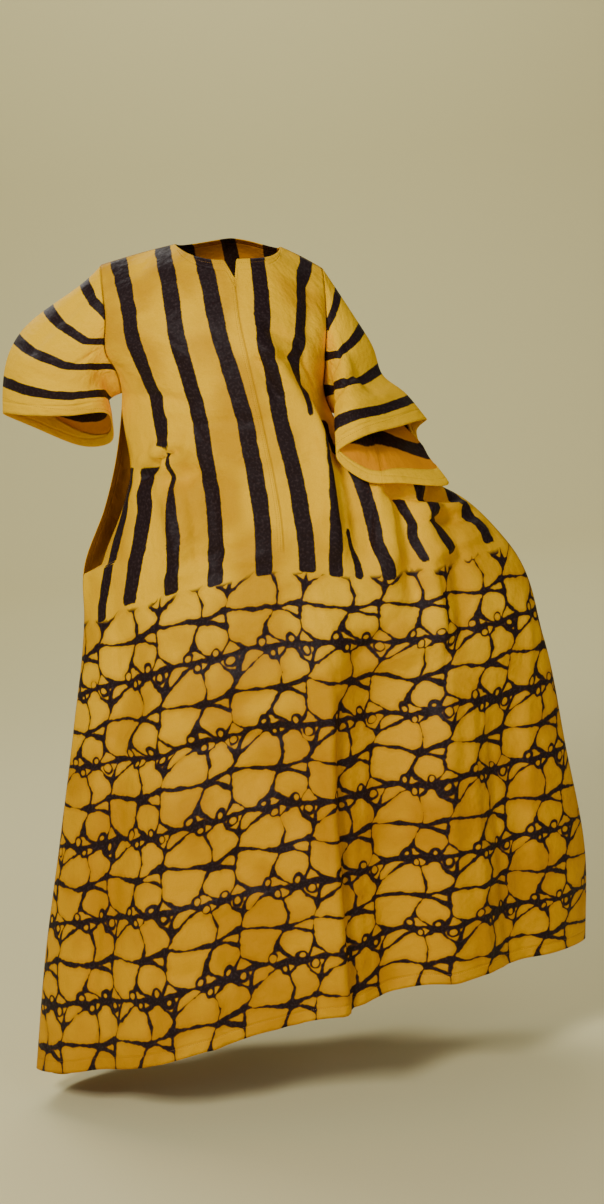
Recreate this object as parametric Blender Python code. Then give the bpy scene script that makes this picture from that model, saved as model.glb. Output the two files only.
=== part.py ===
"""Grand boubou robe, worn: a front, a back and two wide sleeves.

Metres, +Z up. The robe faces -Y. The origin is the middle of the neck opening,
at the height of the shoulders that hold the robe up.

Each cut piece is one closed solid, a thin wall of cloth. A piece is worked out
as a grid of points on its outer face. The wall is then laid inside that face.
"drop" is the distance down the cloth from the shoulder, on the centre front.
"across" runs along a row of the cloth from the centre front, left is negative.
Left and right are those of somebody who looks at the robe's front.
"""

import math

import bmesh
import bpy
import numpy as np
from mathutils import Vector

for old_object in list(bpy.data.objects):
    bpy.data.objects.remove(old_object, do_unlink=True)

# Cloth and seams
WALL = 0.0018
SEAM_GAP = 0.0005
LENGTH = 1.37
UNDERARM_DROP = 0.34

# Neck opening, as shares of each half of the shoulder line
NECK_LEFT = 0.40
NECK_RIGHT = 0.56
NECK_FRONT_DROP = 0.100
NECK_BACK_DROP = 0.030
NOTCH_DROP = 0.036

# Armholes: half their width from front to back, how far the sleeve's underside
# swells out just past the seam, and how many seam gaps it keeps off the corner
ARMHOLE_HALF_WIDTH = 0.052
ARMHOLE_EASE = 0.016
UNDERARM_EASE = 5.0

# The opening in the left side, between the front and the back
SLIT_TOP = 0.40
SLIT_BOTTOM = 0.555
SLIT_SETBACK = 0.034
SLIT_FORWARD = 0.035

# Grid of each body panel
HALF_COLUMNS = 19
ARMHOLE_ROWS = 9
LOWER_ROWS = 22
SLEEVE_ROWS = 11

# Sections of the body, one row for each drop down the cloth.
# left, right: the side edges. middle: the centre front line.
# front_y, back_y: how far the two faces stand out on the middle.
# side_y: where the two side edges lie. droop: how the row falls to its ends.
# roundness: 2 is an ellipse in plan, 1 is a flatter, sharper lens.
BODY_SECTIONS = [
    dict(drop=0.00, left_x=-0.215, left_z=0.002, middle_x=0.000, middle_z=0.030,
         right_x=0.155, right_z=-0.042, front_y=0.020, side_y=0.020, back_y=0.020,
         droop=1.6, roundness=2.0),
    dict(drop=0.04, left_x=-0.215, left_z=-0.026, middle_x=0.002, middle_z=0.022,
         right_x=0.155, right_z=-0.072, front_y=-0.018, side_y=0.020, back_y=0.055,
         droop=1.6, roundness=2.0),
    dict(drop=0.08, left_x=-0.214, left_z=-0.052, middle_x=0.004, middle_z=0.000,
         right_x=0.153, right_z=-0.101, front_y=-0.052, side_y=0.020, back_y=0.084,
         droop=1.7, roundness=2.0),
    dict(drop=0.14, left_x=-0.214, left_z=-0.090, middle_x=0.008, middle_z=-0.050,
         right_x=0.150, right_z=-0.140, front_y=-0.085, side_y=0.020, back_y=0.106,
         droop=1.8, roundness=2.0),
    dict(drop=0.22, left_x=-0.220, left_z=-0.138, middle_x=0.010, middle_z=-0.120,
         right_x=0.142, right_z=-0.195, front_y=-0.120, side_y=0.020, back_y=0.122,
         droop=2.0, roundness=1.9),
    dict(drop=0.34, left_x=-0.205, left_z=-0.215, middle_x=0.024, middle_z=-0.237,
         right_x=0.146, right_z=-0.285, front_y=-0.139, side_y=0.020, back_y=0.136,
         droop=2.0, roundness=1.7),
    dict(drop=0.40, left_x=-0.222, left_z=-0.300, middle_x=0.031, middle_z=-0.298,
         right_x=0.190, right_z=-0.366, front_y=-0.142, side_y=0.020, back_y=0.143,
         droop=2.0, roundness=1.5),
    dict(drop=0.48, left_x=-0.257, left_z=-0.405, middle_x=0.039, middle_z=-0.378,
         right_x=0.280, right_z=-0.408, front_y=-0.146, side_y=0.015, back_y=0.155,
         droop=2.0, roundness=1.4),
    dict(drop=0.55, left_x=-0.303, left_z=-0.500, middle_x=0.043, middle_z=-0.448,
         right_x=0.358, right_z=-0.455, front_y=-0.150, side_y=0.010, back_y=0.168,
         droop=2.0, roundness=1.35),
    dict(drop=0.62, left_x=-0.313, left_z=-0.590, middle_x=0.040, middle_z=-0.518,
         right_x=0.420, right_z=-0.530, front_y=-0.155, side_y=0.000, back_y=0.180,
         droop=1.8, roundness=1.35),
    dict(drop=0.80, left_x=-0.353, left_z=-0.775, middle_x=0.034, middle_z=-0.700,
         right_x=0.470, right_z=-0.705, front_y=-0.172, side_y=0.000, back_y=0.200,
         droop=1.5, roundness=1.35),
    dict(drop=1.00, left_x=-0.403, left_z=-0.980, middle_x=0.014, middle_z=-0.900,
         right_x=0.492, right_z=-0.900, front_y=-0.195, side_y=0.000, back_y=0.215,
         droop=1.3, roundness=1.35),
    dict(drop=1.20, left_x=-0.455, left_z=-1.190, middle_x=0.002, middle_z=-1.100,
         right_x=0.510, right_z=-1.092, front_y=-0.212, side_y=0.000, back_y=0.228,
         droop=1.1, roundness=1.35),
    dict(drop=1.37, left_x=-0.495, left_z=-1.385, middle_x=-0.006, middle_z=-1.267,
         right_x=0.499, right_z=-1.252, front_y=-0.222, side_y=0.010, back_y=0.238,
         droop=1.0, roundness=1.35),
]

# The back hangs lower than the front below the hip, and sags between its ends.
BACK_EXTRA_DROP = 0.060

# Folds: a ridge (depth > 0) or a valley (depth < 0) along a line on the cloth.
# The line runs from (across, drop) "start" to "end"; width is half its width.
FRONT_FOLDS = [
    dict(name="ridge from neck to right hip", start=(0.020, 0.24), end=(0.100, 0.42),
         width=0.022, depth=0.020),
    dict(name="same ridge down to the hip", start=(0.095, 0.40), end=(0.085, 0.60),
         width=0.020, depth=0.014),
    dict(name="valley beside the ridge", start=(0.125, 0.34), end=(0.125, 0.62),
         width=0.018, depth=-0.014),
    dict(name="fold under the right sleeve", start=(0.165, 0.40), end=(0.175, 0.66),
         width=0.020, depth=0.013),
    dict(name="second valley to the hip", start=(0.205, 0.46), end=(0.215, 0.70),
         width=0.018, depth=-0.013),
    dict(name="third fold to the hip", start=(0.250, 0.46), end=(0.255, 0.78),
         width=0.020, depth=0.012),
    dict(name="valley near the right side", start=(0.300, 0.50), end=(0.300, 0.76),
         width=0.018, depth=-0.012),
    dict(name="drag fold from the held side", start=(0.400, 0.54), end=(0.200, 0.56),
         width=0.014, depth=0.010),
    dict(name="second drag fold", start=(0.400, 0.57), end=(0.240, 0.605),
         width=0.013, depth=0.010),
    dict(name="waist tuck at the left", start=(-0.205, 0.425), end=(-0.115, 0.405),
         width=0.015, depth=0.014),
    dict(name="hollow under the tuck", start=(-0.200, 0.458), end=(-0.120, 0.450),
         width=0.014, depth=-0.012),
    dict(name="fold under the tuck", start=(-0.160, 0.47), end=(-0.190, 0.64),
         width=0.028, depth=0.012),
    dict(name="valley beside it", start=(-0.110, 0.46), end=(-0.120, 0.62),
         width=0.022, depth=-0.011),
    dict(name="chest fold at the right", start=(0.035, 0.225), end=(0.110, 0.235),
         width=0.013, depth=-0.007),
    dict(name="centre skirt fold", start=(0.055, 0.68), end=(0.065, 1.45),
         width=0.034, depth=0.022),
    dict(name="deep valley right of it", start=(0.135, 0.74), end=(0.150, 1.45),
         width=0.045, depth=-0.026),
    dict(name="right skirt fold", start=(0.260, 0.84), end=(0.285, 1.45),
         width=0.055, depth=0.018),
    dict(name="valley by the right side", start=(0.390, 0.86), end=(0.410, 1.45),
         width=0.040, depth=-0.014),
    dict(name="left skirt fold", start=(-0.200, 0.86), end=(-0.270, 1.45),
         width=0.060, depth=0.016),
    dict(name="valley left of centre", start=(-0.070, 0.90), end=(-0.090, 1.45),
         width=0.055, depth=-0.016),
    dict(name="valley by the left side", start=(-0.290, 0.64), end=(-0.400, 1.45),
         width=0.040, depth=-0.014),
    dict(name="slanting fold over the knee", start=(-0.260, 0.80), end=(0.030, 0.785),
         width=0.030, depth=0.012),
    dict(name="slanting fold below the knee", start=(-0.240, 0.985), end=(-0.020, 1.01),
         width=0.032, depth=0.010),
]

BACK_FOLDS = [
    dict(name="left shoulder fold", start=(-0.120, 0.22), end=(-0.170, 1.45),
         width=0.034, depth=0.018),
    dict(name="right shoulder fold", start=(0.060, 0.24), end=(0.110, 1.45),
         width=0.036, depth=0.020),
    dict(name="centre valley", start=(-0.030, 0.44), end=(-0.030, 1.45),
         width=0.040, depth=-0.020),
    dict(name="right valley", start=(0.160, 0.52), end=(0.210, 1.45),
         width=0.032, depth=-0.016),
    dict(name="right outer fold", start=(0.240, 0.56), end=(0.320, 1.45),
         width=0.036, depth=0.017),
    dict(name="left valley", start=(-0.190, 0.60), end=(-0.280, 1.45),
         width=0.034, depth=-0.015),
    dict(name="left outer fold", start=(-0.250, 0.80), end=(-0.380, 1.45),
         width=0.038, depth=0.014),
    dict(name="drag fold to the held side", start=(0.300, 0.57), end=(0.060, 0.50),
         width=0.020, depth=0.012),
    dict(name="waist fold", start=(-0.180, 0.50), end=(0.040, 0.47),
         width=0.020, depth=0.010),
]

# Sleeve cuffs: the loop of the sleeve's open end, from the top down the front
# to the underarm and up the back. bulge: how far the sleeve swells on the way.
LEFT_CUFF = [
    dict(name="outer corner", place=(-0.415, 0.050, -0.229), bulge=(-0.034, 0.010, 0.040)),
    dict(name="front outer", place=(-0.365, -0.024, -0.235), bulge=(-0.028, -0.018, 0.022)),
    dict(name="front middle", place=(-0.295, -0.046, -0.242), bulge=(-0.012, -0.022, 0.004)),
    dict(name="front inner", place=(-0.235, -0.034, -0.243), bulge=(-0.006, -0.010, 0.000)),
    dict(name="underarm", place=(-0.228, 0.030, -0.262), bulge=(-0.004, 0.000, 0.004)),
    dict(name="back inner", place=(-0.242, 0.105, -0.300), bulge=(-0.010, 0.010, 0.000)),
    dict(name="back middle", place=(-0.300, 0.148, -0.302), bulge=(-0.018, 0.022, 0.010)),
    dict(name="back outer", place=(-0.378, 0.118, -0.258), bulge=(-0.030, 0.020, 0.036)),
]
RIGHT_CUFF = [
    dict(name="outer corner", place=(0.304, -0.012, -0.311), bulge=(-0.004, 0.006, 0.000)),
    dict(name="front outer", place=(0.250, -0.086, -0.315), bulge=(-0.008, -0.016, 0.000)),
    dict(name="front middle", place=(0.188, -0.134, -0.323), bulge=(0.000, -0.030, 0.004)),
    dict(name="front inner", place=(0.142, -0.128, -0.350), bulge=(0.002, -0.022, 0.010)),
    dict(name="underarm", place=(0.186, -0.120, -0.396), bulge=(0.016, -0.012, 0.014)),
    dict(name="lip", place=(0.245, -0.108, -0.407), bulge=(0.012, 0.000, 0.018)),
    dict(name="lip end", place=(0.326, -0.044, -0.423), bulge=(0.006, 0.018, 0.012)),
    dict(name="back lower", place=(0.302, 0.004, -0.388), bulge=(0.000, 0.018, 0.000)),
    dict(name="back upper", place=(0.288, 0.034, -0.334), bulge=(0.000, 0.012, 0.000)),
]

CLOTH_YELLOW = (0.85, 0.60, 0.03, 1.0)


def section_value(name, drop):
    """Read one column of the body sections at a drop, along a smooth curve."""
    drops = np.array([row["drop"] for row in BODY_SECTIONS])
    values = np.array([row[name] for row in BODY_SECTIONS])
    slopes = np.gradient(values, drops)
    drop = min(max(drop, drops[0]), drops[-1])
    index = min(int(np.searchsorted(drops, drop, side="right")) - 1, len(drops) - 2)
    span = drops[index + 1] - drops[index]
    share = (drop - drops[index]) / span
    start_weight = 2 * share ** 3 - 3 * share ** 2 + 1
    end_weight = 3 * share ** 2 - 2 * share ** 3
    start_slope = share ** 3 - 2 * share ** 2 + share
    end_slope = share ** 3 - share ** 2
    return (start_weight * values[index] + end_weight * values[index + 1]
            + start_slope * span * slopes[index] + end_slope * span * slopes[index + 1])


def smooth_step(low, high, value):
    """Go from 0 at low to 1 at high with soft ends."""
    share = min(max((value - low) / (high - low), 0.0), 1.0)
    return share * share * (3.0 - 2.0 * share)


def fold_height(folds, across, drop):
    """Add up the ridges and valleys at one place on the cloth."""
    height = 0.0
    for fold in folds:
        start = np.array(fold["start"])
        line = np.array(fold["end"]) - start
        length = math.hypot(line[0], line[1])
        offset = np.array((across, drop)) - start
        along = float(offset @ line) / length ** 2
        beside = abs(float(offset[0] * line[1] - offset[1] * line[0])) / length
        past_end = max(0.0, -along, along - 1.0) * length
        spread = math.hypot(beside, past_end) / fold["width"]
        fade = smooth_step(0.0, 0.25, along + 0.10) * smooth_step(0.0, 0.25, 1.10 - along)
        height += fold["depth"] * math.exp(-spread ** 2) * fade
    return height


def side_share(side):
    """Name the section columns of one side."""
    return ("left_x", "left_z") if side < 0 else ("right_x", "right_z")


def half_row(side, face, drop, count):
    """Points of one half of a row, from the centre line out to the side edge."""
    edge_x_name, edge_z_name = side_share(side)
    middle_x = section_value("middle_x", drop)
    middle_z = section_value("middle_z", drop)
    edge_x = section_value(edge_x_name, drop)
    edge_z = section_value(edge_z_name, drop)
    edge_y = section_value("side_y", drop)
    middle_y = section_value("front_y" if face == "front" else "back_y", drop)
    if drop < UNDERARM_DROP:
        along = 2.0 * drop / UNDERARM_DROP - 1.0
        opening = math.sqrt(1.0 - along ** 2)
        edge_y += ARMHOLE_HALF_WIDTH * opening * (-1.0 if face == "front" else 1.0)
    if side < 0 and face == "front":
        opened = smooth_step(SLIT_TOP - 0.05, SLIT_TOP + 0.05, drop)
        opened *= 1.0 - smooth_step(SLIT_BOTTOM - 0.008, SLIT_BOTTOM + 0.008, drop)
        edge_x += SLIT_SETBACK * opened
        edge_y -= SLIT_FORWARD * opened
    if face == "back":
        below_hip = smooth_step(0.62, LENGTH, drop)
        middle_z -= BACK_EXTRA_DROP * below_hip
    angles = np.linspace(0.0, math.pi / 2, 161)
    out = np.sin(angles)
    roundness = section_value("roundness", drop)
    xs = middle_x + (edge_x - middle_x) * out
    ys = edge_y + (middle_y - edge_y) * np.cos(angles) ** (2.0 / roundness)
    zs = middle_z + (edge_z - middle_z) * out ** section_value("droop", drop)
    if side > 0 and face == "front":
        sag = smooth_step(0.44, 0.62, drop) * (1.0 - smooth_step(0.62, 1.0, drop))
        zs -= 0.024 * sag * np.sin(math.pi * out)
    if side > 0 and face == "front":
        zs += 0.022 * smooth_step(1.0, LENGTH, drop) * np.sin(math.pi * out)
    if side < 0 and face == "back":
        zs -= 0.050 * smooth_step(1.1, LENGTH, drop) * np.sin(math.pi * out ** 5)
    steps = np.hypot(np.diff(xs), np.diff(ys))
    travelled = np.concatenate([[0.0], np.cumsum(steps)])
    wanted = np.linspace(0.0, travelled[-1], count + 1)
    points = []
    folds = FRONT_FOLDS if face == "front" else BACK_FOLDS
    outward = -1.0 if face == "front" else 1.0
    for distance in wanted:
        x = np.interp(distance, travelled, xs)
        y = np.interp(distance, travelled, ys)
        z = np.interp(distance, travelled, zs)
        ahead = min(distance + 0.004, travelled[-1])
        behind = max(distance - 0.004, 0.0)
        run_x = np.interp(ahead, travelled, xs) - np.interp(behind, travelled, xs)
        run_y = np.interp(ahead, travelled, ys) - np.interp(behind, travelled, ys)
        run = math.hypot(run_x, run_y)
        push_x = run_y / run * side * -outward
        push_y = abs(run_x) / run * outward
        to_edge = travelled[-1] - distance
        calm = smooth_step(0.0, 0.050, to_edge)
        height = fold_height(folds, side * distance, drop) * calm
        points.append(Vector((x + push_x * height, y + push_y * height, z)))
    return points


def neck_drop(face, side, share):
    """How far the neckline is cut down at a share of the half shoulder line."""
    neck = NECK_LEFT if side < 0 else NECK_RIGHT
    if share >= neck:
        return 0.0
    depth = NECK_FRONT_DROP if face == "front" else NECK_BACK_DROP
    cut = depth * math.sqrt(1.0 - (share / neck) ** 2)
    if face == "front" and share < 1e-6:
        cut += NOTCH_DROP
    return cut


def body_grid(face):
    """Outer face of the front or the back, rows down and columns left to right."""
    rows = []
    total = ARMHOLE_ROWS + LOWER_ROWS
    for row_index in range(total + 1):
        row = []
        for side in (-1, 1):
            half = []
            for column in range(HALF_COLUMNS + 1):
                share = column / HALF_COLUMNS
                top = neck_drop(face, side, share)
                if row_index <= ARMHOLE_ROWS:
                    drop = top + (UNDERARM_DROP - top) * row_index / ARMHOLE_ROWS
                else:
                    lower = (row_index - ARMHOLE_ROWS) / LOWER_ROWS
                    drop = UNDERARM_DROP + (LENGTH - UNDERARM_DROP) * lower
                half.append(cached_half_row(side, face, drop)[column])
            row.append(half)
        rows.append(row[0][::-1] + row[1][1:])
    return rows


half_row_cache = {}


def cached_half_row(side, face, drop):
    """Keep each worked-out half row, because many columns share it."""
    key = (side, face, round(drop, 6))
    if key not in half_row_cache:
        half_row_cache[key] = half_row(side, face, drop, HALF_COLUMNS)
    return half_row_cache[key]


def closed_curve(points, share):
    """A place on a smooth closed curve through the points, share 0 to 1."""
    count = len(points)
    position = (share % 1.0) * count
    index = int(position)
    part = position - index
    before = points[(index - 1) % count]
    start = points[index % count]
    end = points[(index + 1) % count]
    after = points[(index + 2) % count]
    return 0.5 * (2 * start + (end - before) * part
                  + (2 * before - 5 * start + 4 * end - after) * part ** 2
                  + (3 * start - before - 3 * end + after) * part ** 3)


def sleeve_grid(side, front_rows, back_rows, cuff):
    """Outer face of a sleeve: rings from the armhole out to the cuff."""
    column = 0 if side < 0 else 2 * HALF_COLUMNS
    armhole = [front_rows[index][column] for index in range(ARMHOLE_ROWS + 1)]
    armhole += [back_rows[index][column] for index in range(ARMHOLE_ROWS - 1, 0, -1)]
    count = len(armhole)
    places = [Vector(point["place"]) for point in cuff]
    bulges = [Vector(point["bulge"]) for point in cuff]
    rings = []
    for ring_index in range(SLEEVE_ROWS + 1):
        out = ring_index / SLEEVE_ROWS
        ring = []
        for index in range(count):
            share = index / count
            end = closed_curve(places, share)
            swell = closed_curve(bulges, share)
            start = armhole[index]
            place = start.lerp(end, out) + swell * math.sin(math.pi * out ** 1.5)
            low = math.sin(math.pi * share) ** 4
            near_seam = out * (1.0 - out) ** 3 / (0.25 * 0.75 ** 3)
            place.x += side * low * ARMHOLE_EASE * near_seam
            ring.append(place)
        rings.append(ring)
    return rings


def grid_normals(rows, closed, facing):
    """Sum of the face normals at each point of a grid, pointing outward."""
    columns = len(rows[0])
    normals = [[Vector((0.0, 0.0, 0.0)) for _ in row] for row in rows]
    last = columns if closed else columns - 1
    for i in range(len(rows) - 1):
        for j in range(last):
            k = (j + 1) % columns
            a, b, c, d = rows[i][j], rows[i][k], rows[i + 1][k], rows[i + 1][j]
            normal = (b - d).cross(c - a) * facing
            if normal.length > 0.0:
                normal.normalize()
            for place in ((i, j), (i, k), (i + 1, k), (i + 1, j)):
                normals[place[0]][place[1]] += normal
    return normals


def key_of(point):
    """A name for a place, so that pieces which share a seam find each other."""
    return (round(point.x, 5), round(point.y, 5), round(point.z, 5))


def wall_solid(name, rows, closed, facing, shared):
    """Close a grid into a thin wall: outer face, inner face and the rims."""
    columns = len(rows[0])
    own = grid_normals(rows, closed, facing)
    outer = []
    inner = []
    for i, row in enumerate(rows):
        outer_row = []
        inner_row = []
        for j, point in enumerate(row):
            normal = own[i][j].normalized()
            common = shared[key_of(point)].normalized()
            inward = -(common + normal * (2.0 if closed else 0.0)).normalized()
            mitre = min(1.0 / max(-inward.dot(normal), 0.5), 1.4)
            pull = Vector((0.0, 0.0, 0.0))
            if shared_count[key_of(point)] > 1:
                if i == 0:
                    low = math.sin(math.pi * j / columns) ** 8 if closed else 0.0
                    pull += (rows[1][j] - point).normalized() * (1.0 + UNDERARM_EASE * low)
                if not closed and j == 0:
                    pull += (row[1] - point).normalized()
                if not closed and j == columns - 1:
                    pull += (row[-2] - point).normalized()
            seat = point + pull * (SEAM_GAP / 2)
            outer_row.append(seat)
            inner_row.append(seat + inward * WALL * mitre)
        outer.append(outer_row)
        inner.append(inner_row)
    mesh_builder = bmesh.new()
    outer_verts = [[mesh_builder.verts.new(p) for p in row] for row in outer]
    inner_verts = [[mesh_builder.verts.new(p) for p in row] for row in inner]
    last = columns if closed else columns - 1
    for i in range(len(rows) - 1):
        for j in range(last):
            k = (j + 1) % columns
            quad = [(i, j), (i, k), (i + 1, k), (i + 1, j)]
            one_way = (outer[i][j] - outer[i + 1][k]).length
            other_way = (outer[i][k] - outer[i + 1][j]).length
            if one_way <= other_way:
                halves = [[quad[0], quad[1], quad[2]], [quad[0], quad[2], quad[3]]]
            else:
                halves = [[quad[0], quad[1], quad[3]], [quad[1], quad[2], quad[3]]]
            for half in halves:
                mesh_builder.faces.new([outer_verts[a][b] for a, b in half])
                mesh_builder.faces.new([inner_verts[a][b] for a, b in reversed(half)])
    rim = []
    for j in range(last):
        rim.append(((0, j), (0, (j + 1) % columns)))
        rim.append(((len(rows) - 1, (j + 1) % columns), (len(rows) - 1, j)))
    if not closed:
        for i in range(len(rows) - 1):
            rim.append(((i + 1, 0), (i, 0)))
            rim.append(((i, columns - 1), (i + 1, columns - 1)))
    for first, second in rim:
        corners = [outer_verts[second[0]][second[1]], outer_verts[first[0]][first[1]],
                   inner_verts[first[0]][first[1]], inner_verts[second[0]][second[1]]]
        if facing < 0:
            corners.reverse()
        mesh_builder.faces.new(corners)
    mesh = bpy.data.meshes.new(name)
    bmesh.ops.recalc_face_normals(mesh_builder, faces=mesh_builder.faces)
    mesh_builder.to_mesh(mesh)
    mesh_builder.free()
    mesh.shade_smooth()
    piece = bpy.data.objects.new(name, mesh)
    bpy.context.scene.collection.objects.link(piece)
    return piece


def cloth_material(name, colour):
    """Plain cotton cloth for one piece."""
    material = bpy.data.materials.new(name)
    material.use_nodes = True
    shader = material.node_tree.nodes["Principled BSDF"]
    shader.inputs["Base Color"].default_value = colour
    shader.inputs["Roughness"].default_value = 0.85
    shader.inputs["Metallic"].default_value = 0.0
    return material


front_rows = body_grid("front")
back_rows = body_grid("back")
left_rings = sleeve_grid(-1, front_rows, back_rows, LEFT_CUFF)
right_rings = sleeve_grid(1, front_rows, back_rows, RIGHT_CUFF)

# name, grid, closed ring or open sheet, which way its outer face looks
pieces = [
    ("front", front_rows, False, -1.0),
    ("back", back_rows, False, 1.0),
    ("sleeve_left", left_rings, True, -1.0),
    ("sleeve_right", right_rings, True, 1.0),
]

shared_normals = {}
shared_count = {}
for piece_name, piece_rows, is_closed, facing_sign in pieces:
    piece_normals = grid_normals(piece_rows, is_closed, facing_sign)
    for point_row, normal_row in zip(piece_rows, piece_normals):
        for place, place_normal in zip(point_row, normal_row):
            place_key = key_of(place)
            added = place_normal.normalized()
            shared_normals[place_key] = shared_normals.get(place_key, Vector()) + added
            shared_count[place_key] = shared_count.get(place_key, 0) + 1

for piece_name, piece_rows, is_closed, facing_sign in pieces:
    solid = wall_solid(piece_name, piece_rows, is_closed, facing_sign, shared_normals)
    solid.data.materials.append(cloth_material("cotton_" + piece_name, CLOTH_YELLOW))
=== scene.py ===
"""Looks of a worn grand boubou robe: printed cotton cloth, hems, seams and stitches.

Metres, +Z up, the robe faces -Y. "drop" is the distance down the cloth from the
shoulder, "across" the distance along a row of the cloth from the centre front.
Left and right are those of somebody who looks at the robe's front.
"""
import itertools
import math

import bpy
import numpy as np
from mathutils import Matrix, Vector


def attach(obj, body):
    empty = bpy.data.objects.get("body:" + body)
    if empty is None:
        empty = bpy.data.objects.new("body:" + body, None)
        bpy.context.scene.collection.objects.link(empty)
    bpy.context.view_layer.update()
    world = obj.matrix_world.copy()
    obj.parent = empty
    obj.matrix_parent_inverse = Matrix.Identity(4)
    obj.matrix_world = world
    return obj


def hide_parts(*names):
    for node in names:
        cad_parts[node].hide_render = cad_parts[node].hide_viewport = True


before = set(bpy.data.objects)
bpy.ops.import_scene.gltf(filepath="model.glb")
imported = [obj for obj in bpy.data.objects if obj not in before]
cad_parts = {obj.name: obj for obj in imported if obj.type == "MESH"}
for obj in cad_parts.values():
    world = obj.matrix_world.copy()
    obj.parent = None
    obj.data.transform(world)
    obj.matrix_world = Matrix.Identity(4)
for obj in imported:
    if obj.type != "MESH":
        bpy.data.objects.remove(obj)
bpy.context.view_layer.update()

# ---------------------------------------------------------------- body panels
# Front and back are each one length of plain-woven cotton, cut to a wide shape
# and sewn at the shoulders and sides. They are worked out as rows of points, the
# same rows as the solids, then pressed with finer creases and turned up at the hem.

MM = 0.001
LENGTH = 1.37
UNDERARM_DROP = 0.34
NECK_LEFT = 0.40
NECK_RIGHT = 0.56
NECK_FRONT_DROP = 0.100
NECK_BACK_DROP = 0.030
NOTCH_DROP = 0.036
NOTCH_SHARE = 1.0 / 19.0
ARMHOLE_HALF_WIDTH = 0.052
SLIT_TOP = 0.40
SLIT_BOTTOM = 0.555
SLIT_SETBACK = 0.034
SLIT_FORWARD = 0.035
HIP_SAG = 0.024
FRONT_HEM_LIFT = 0.022
BACK_HEM_SAG = 0.050
ARMHOLE_EASE = 0.016
CLOTH_THICK = 0.0009
HEM_TURN = 0.022
HEM_GAP = 0.0022
HEM_STITCH = 0.019


def table(columns, rows):
    """Give each row of a table its columns' names."""
    return [dict(zip(columns.split(), row)) for row in rows]


# Sections of the body, one row for each drop down the cloth.
# left, right: the side edges. middle: the centre front line.
# front_y, back_y: how far the two faces stand out on the middle.
# side_y: where the two side edges lie. droop: how the row falls to its ends.
# roundness: 2 is an ellipse in plan, 1 is a flatter, sharper lens.
BODY_SECTIONS = table("drop left_x left_z middle_x middle_z right_x right_z "
                      "front_y side_y back_y droop roundness", [
    (0, -0.215, 0.002, 0, 0.03, 0.155, -0.042, 0.02, 0.02, 0.02, 1.6, 2),
    (0.04, -0.215, -0.026, 0.002, 0.022, 0.155, -0.072, -0.018, 0.02, 0.055, 1.6, 2),
    (0.08, -0.214, -0.052, 0.004, 0, 0.153, -0.101, -0.052, 0.02, 0.084, 1.7, 2),
    (0.14, -0.214, -0.09, 0.008, -0.05, 0.15, -0.14, -0.085, 0.02, 0.106, 1.8, 2),
    (0.22, -0.22, -0.138, 0.01, -0.12, 0.142, -0.195, -0.12, 0.02, 0.122, 2, 1.9),
    (0.34, -0.205, -0.215, 0.024, -0.237, 0.146, -0.285, -0.139, 0.02, 0.136, 2, 1.7),
    (0.4, -0.222, -0.3, 0.031, -0.298, 0.19, -0.366, -0.142, 0.02, 0.143, 2, 1.5),
    (0.48, -0.257, -0.405, 0.039, -0.378, 0.28, -0.408, -0.146, 0.015, 0.155, 2, 1.4),
    (0.55, -0.303, -0.5, 0.043, -0.448, 0.358, -0.455, -0.15, 0.01, 0.168, 2, 1.35),
    (0.62, -0.313, -0.59, 0.04, -0.518, 0.42, -0.53, -0.155, 0, 0.18, 1.8, 1.35),
    (0.8, -0.353, -0.775, 0.034, -0.7, 0.47, -0.705, -0.172, 0, 0.2, 1.5, 1.35),
    (1, -0.403, -0.98, 0.014, -0.9, 0.492, -0.9, -0.195, 0, 0.215, 1.3, 1.35),
    (1.2, -0.455, -1.19, 0.002, -1.1, 0.51, -1.092, -0.212, 0, 0.228, 1.1, 1.35),
    (1.37, -0.495, -1.385, -0.006, -1.267, 0.499, -1.252, -0.222, 0.01, 0.238, 1, 1.35),
])

# The back hangs lower than the front below the hip, and sags between its ends.
BACK_EXTRA_DROP = 0.060

# Folds: a ridge (depth > 0) or a valley (depth < 0) along a line on the cloth.
# The line runs from (across, drop) to (to_across, to_drop); width is half its width.
# These tables are in millimetres.
FOLD_COLUMNS = "name across drop to_across to_drop width depth"
FRONT_FOLDS = table(FOLD_COLUMNS, [
    ("ridge from neck to right hip", 20, 240, 100, 420, 22, 20),
    ("same ridge down to hip", 95, 400, 85, 600, 20, 14),
    ("valley beside ridge", 125, 340, 125, 620, 18, -14),
    ("fold under right sleeve", 165, 400, 175, 660, 20, 13),
    ("second valley to hip", 205, 460, 215, 700, 18, -13),
    ("third fold to hip", 250, 460, 255, 780, 20, 12),
    ("valley near right side", 300, 500, 300, 760, 18, -12),
    ("drag fold from held side", 400, 540, 200, 560, 14, 10),
    ("second drag fold", 400, 570, 240, 605, 13, 10),
    ("waist tuck at left", -205, 425, -115, 405, 15, 14),
    ("hollow under tuck", -200, 458, -120, 450, 14, -12),
    ("fold under tuck", -160, 470, -190, 640, 28, 12),
    ("valley beside it", -110, 460, -120, 620, 22, -11),
    ("chest fold at right", 35, 225, 110, 235, 13, -7),
    ("centre skirt fold", 55, 680, 65, 1450, 34, 22),
    ("deep valley right of it", 135, 740, 150, 1450, 45, -26),
    ("right skirt fold", 260, 840, 285, 1450, 55, 18),
    ("valley by right side", 390, 860, 410, 1450, 40, -14),
    ("left skirt fold", -200, 860, -270, 1450, 60, 16),
    ("valley left of centre", -70, 900, -90, 1450, 55, -16),
    ("valley by left side", -290, 640, -400, 1450, 40, -14),
    ("slanting fold over knee", -260, 800, 30, 785, 30, 12),
    ("slanting fold below knee", -240, 985, -20, 1010, 32, 10),
])

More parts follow.
